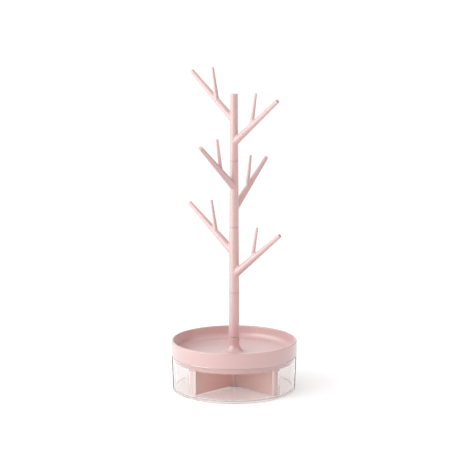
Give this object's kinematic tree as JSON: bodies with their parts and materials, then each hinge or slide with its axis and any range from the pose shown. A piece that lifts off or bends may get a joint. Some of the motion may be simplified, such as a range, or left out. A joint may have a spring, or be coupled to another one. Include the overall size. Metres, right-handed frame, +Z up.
{
  "type": "jewelry stand",
  "caption": "Jewellery tree with forked branches on a round dished tray. The tray and the divider under it turn in a clear drum with a window, as a rotary drawer.",
  "frame": {"origin": "on the table, under the middle of the drum's standing ring", "axes": "+Z up along the trunk; -Y towards the front, where the drum's window is; +X to the right seen from the front"},
  "size_m": [0.15, 0.15, 0.3841],
  "materials": {
    "pink_plastic": "moulded satin to gloss, dusty pink",
    "clear_plastic": "clear polished moulding",
    "steel": "plain zinc-plated",
    "white_acetal": "plain white, slippery"
  },
  "bodies": {
    "drum_body": {"drum": "clear_plastic", "pivot_washer": "steel", "glide_washer": "white_acetal"},
    "carousel": {"cross_divider": "pink_plastic", "tray": "pink_plastic", "tray_screws": "steel", "root_screw": "steel", "pivot_screw": "steel", "collar_ring": "pink_plastic", "lower_post": "pink_plastic"},
    "lower_branches": {"branch_module_lower": "pink_plastic"},
    "middle_branches": {"branch_module_middle": "pink_plastic"},
    "upper_branches": {"branch_module_upper": "pink_plastic"}
  },
  "joints": [
    {"name": "carousel_turn", "type": "hinge", "parent": "drum_body", "child": "carousel", "pos_m": [0, 0, 0.0039], "axis": [0, 0, 1], "continuous": true},
    {"name": "lower_branches_turn", "type": "hinge", "parent": "carousel", "child": "lower_branches", "pos_m": [0, 0, 0.1179], "axis": [0, 0, 1], "continuous": true},
    {"name": "middle_branches_turn", "type": "hinge", "parent": "lower_branches", "child": "middle_branches", "pos_m": [0, 0, 0.1969], "axis": [0, 0, 1], "continuous": true},
    {"name": "upper_branches_turn", "type": "hinge", "parent": "middle_branches", "child": "upper_branches", "pos_m": [0, 0, 0.2759], "axis": [0, 0, 1], "continuous": true}
  ]
}
